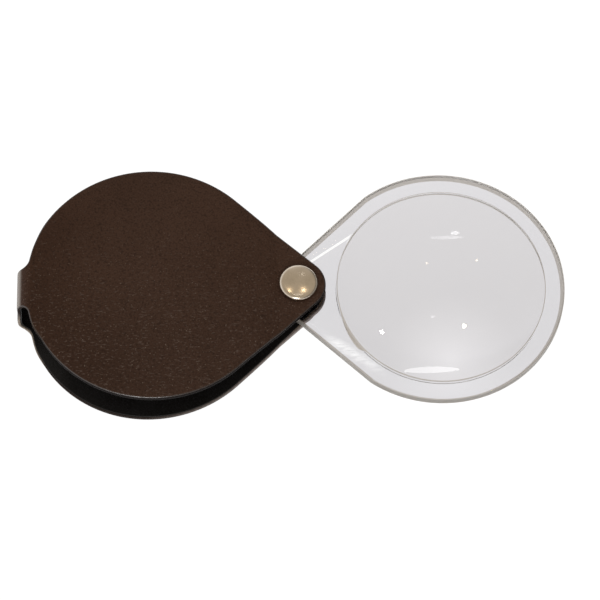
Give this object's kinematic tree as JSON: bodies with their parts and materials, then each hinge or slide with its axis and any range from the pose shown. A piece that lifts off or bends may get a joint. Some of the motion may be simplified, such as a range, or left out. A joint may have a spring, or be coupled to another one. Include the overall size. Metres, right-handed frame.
{
  "type": "folding pocket magnifier",
  "caption": "Folding pocket magnifier: a clear drop-shaped lens plate that swivels on a rivet out of a bowed, one-piece brown leather case.",
  "frame": {"origin": "centre of the flat back of the rear rivet cap, on the axis that the lens swivels about", "axes": "+Z along the rivet, out of the domed front cap; +X from the rivet to the middle of the opened-out lens; the case lies along -X"},
  "size_m": [0.1578, 0.072, 0.0204],
  "materials": {
    "leather": "fine-grained smooth dark brown leather, semi-matt",
    "board": "raw pressed board",
    "lining": "matt black grained lining",
    "nickel": "polished warm nickel plate",
    "brass": "plain drawn brass",
    "washer": "black fibre",
    "lens_plastic": "clear polished acrylic"
  },
  "bodies": {
    "case": {"leather_wrap": "leather", "front_board": "board", "rear_board": "board", "lining": "lining", "rivet_front_cap": "nickel", "rivet_post": "brass", "rivet_socket": "brass", "rivet_rear_cap": "nickel", "front_washer": "washer", "rear_washer": "washer"},
    "lens_plate": {"lens": "lens_plastic", "pivot_sleeve": "brass"}
  },
  "joints": [
    {"name": "lens_swivel", "type": "hinge", "parent": "case", "child": "lens_plate", "pos_m": [0, 0, 0.0064], "axis": [0, 0, 1], "continuous": true}
  ]
}
